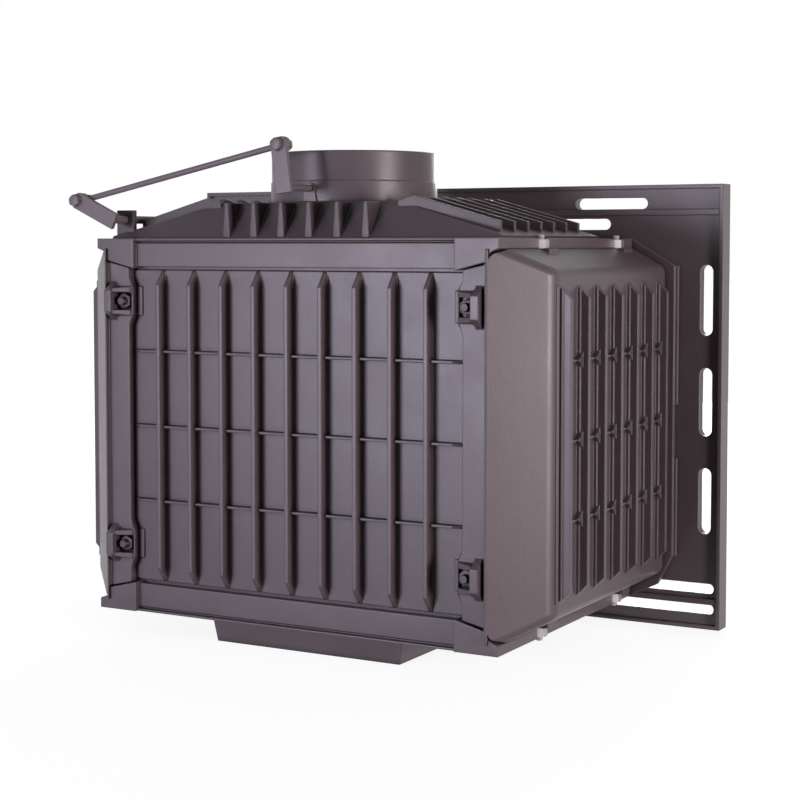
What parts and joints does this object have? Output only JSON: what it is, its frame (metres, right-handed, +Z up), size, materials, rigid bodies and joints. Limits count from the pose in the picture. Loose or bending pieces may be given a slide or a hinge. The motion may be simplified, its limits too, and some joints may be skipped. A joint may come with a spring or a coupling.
{
  "type": "fireplace insert",
  "caption": "Ribbed cast-iron fireplace insert with a round flue collar, linked damper, glazed door, air slider, ash drawer and slotted facade frame.",
  "frame": {"origin": "on the flue axis, in the bottom face of the ash box, which rests on the hearth", "axes": "+Z up along the flue axis, -Y towards the door side and the room, +X to the right seen from the room"},
  "size_m": [0.7754, 0.48, 0.6048],
  "materials": {
    "body_iron": "matt stove paint over fine cast grain",
    "bright_steel": "zinc-plated hardware",
    "dark_hardware": "blackened steel",
    "door_glass": "clear glass-ceramic pane",
    "frame_iron": "matt stove paint over fine cast grain",
    "grip": "nickel-plated grip",
    "inside_iron": "raw cast iron, dark from heat",
    "lining": "pressed vermiculite board, matt",
    "link_steel": "satin painted steel bar",
    "pan_steel": "black enamelled sheet",
    "rope": "woven glass-fibre seal"
  },
  "bodies": {
    "insert_body": {"base_plate": "body_iron", "top_plate": "body_iron", "back_panel": "body_iron", "side_panel_left": "body_iron", "side_panel_right": "body_iron", "front_wall": "body_iron", "facade_frame": "frame_iron", "ash_box": "body_iron", "hood": "body_iron", "flue_collar": "body_iron", "clamp_studs": "dark_hardware", "clamp_nuts": "dark_hardware", "tie_bolts": "bright_steel", "tie_nuts": "bright_steel", "frame_bolts": "dark_hardware", "hinge_pins": "dark_hardware", "latch_catch": "dark_hardware", "back_lining": "lining", "side_lining_left": "lining", "side_lining_right": "lining", "baffle_plate": "lining", "grate": "inside_iron", "log_bar": "inside_iron"},
    "door": {"door_frame": "frame_iron", "door_glass": "door_glass", "glass_tape": "rope", "glass_clips": "dark_hardware", "clip_screws": "bright_steel", "door_rope": "rope"},
    "latch": {"handle_shaft": "dark_hardware", "handle_arm": "dark_hardware", "handle_grip": "grip", "latch_cam": "dark_hardware", "cam_nut": "dark_hardware"},
    "air_control": {"air_slider": "dark_hardware", "slider_knob": "grip"},
    "ash_drawer": {"ash_pan": "pan_steel", "drawer_front": "frame_iron", "drawer_pull": "grip"},
    "damper_control": {"control_shaft": "link_steel", "control_lever": "link_steel", "control_bolt": "link_steel", "control_nut": "link_steel", "control_knob": "grip", "knob_screw": "dark_hardware"},
    "damper": {"damper_axle": "link_steel", "damper_flap": "inside_iron", "flap_screws": "bright_steel", "damper_crank": "link_steel", "crank_bolt": "link_steel", "crank_nut": "link_steel"},
    "link": {"link_rod": "link_steel"}
  },
  "joints": [
    {"name": "door_swing", "type": "hinge", "parent": "insert_body", "child": "door", "pos_m": [-0.27, -0.27, 0.27], "axis": [0, 0, -1], "range_deg": [0, 110]},
    {"name": "latch_turn", "type": "hinge", "parent": "door", "child": "latch", "pos_m": [0.236, -0.25, 0.275], "axis": [0, -1, 0], "range_deg": [0, 90]},
    {"name": "air_slide", "type": "slide", "parent": "door", "child": "air_control", "axis": [1, 0, 0], "range_m": [0, 0.022]},
    {"name": "drawer_slide", "type": "slide", "parent": "insert_body", "child": "ash_drawer", "axis": [0, -1, 0], "range_m": [0, 0.24]},
    {"name": "damper_control", "type": "hinge", "parent": "insert_body", "child": "damper_control", "pos_m": [0.2495, 0, 0.5115], "axis": [0, -1, 0], "range_deg": [0, 42]},
    {"name": "damper_turn", "type": "hinge", "parent": "insert_body", "child": "damper", "pos_m": [0, 0, 0.5465], "axis": [0, -1, 0], "range_deg": [0, 38.64]},
    {"name": "rod_swing", "type": "hinge", "parent": "damper_control", "child": "link", "pos_m": [0.3005, 0.1497, 0.5348], "axis": [0, -1, 0], "range_deg": [-35.28, 0]}
  ],
  "couplings": [
    {"joint": "damper_turn", "follows": "damper_control", "ratio": 0.92},
    {"joint": "rod_swing", "follows": "damper_control", "ratio": -0.84}
  ]
}
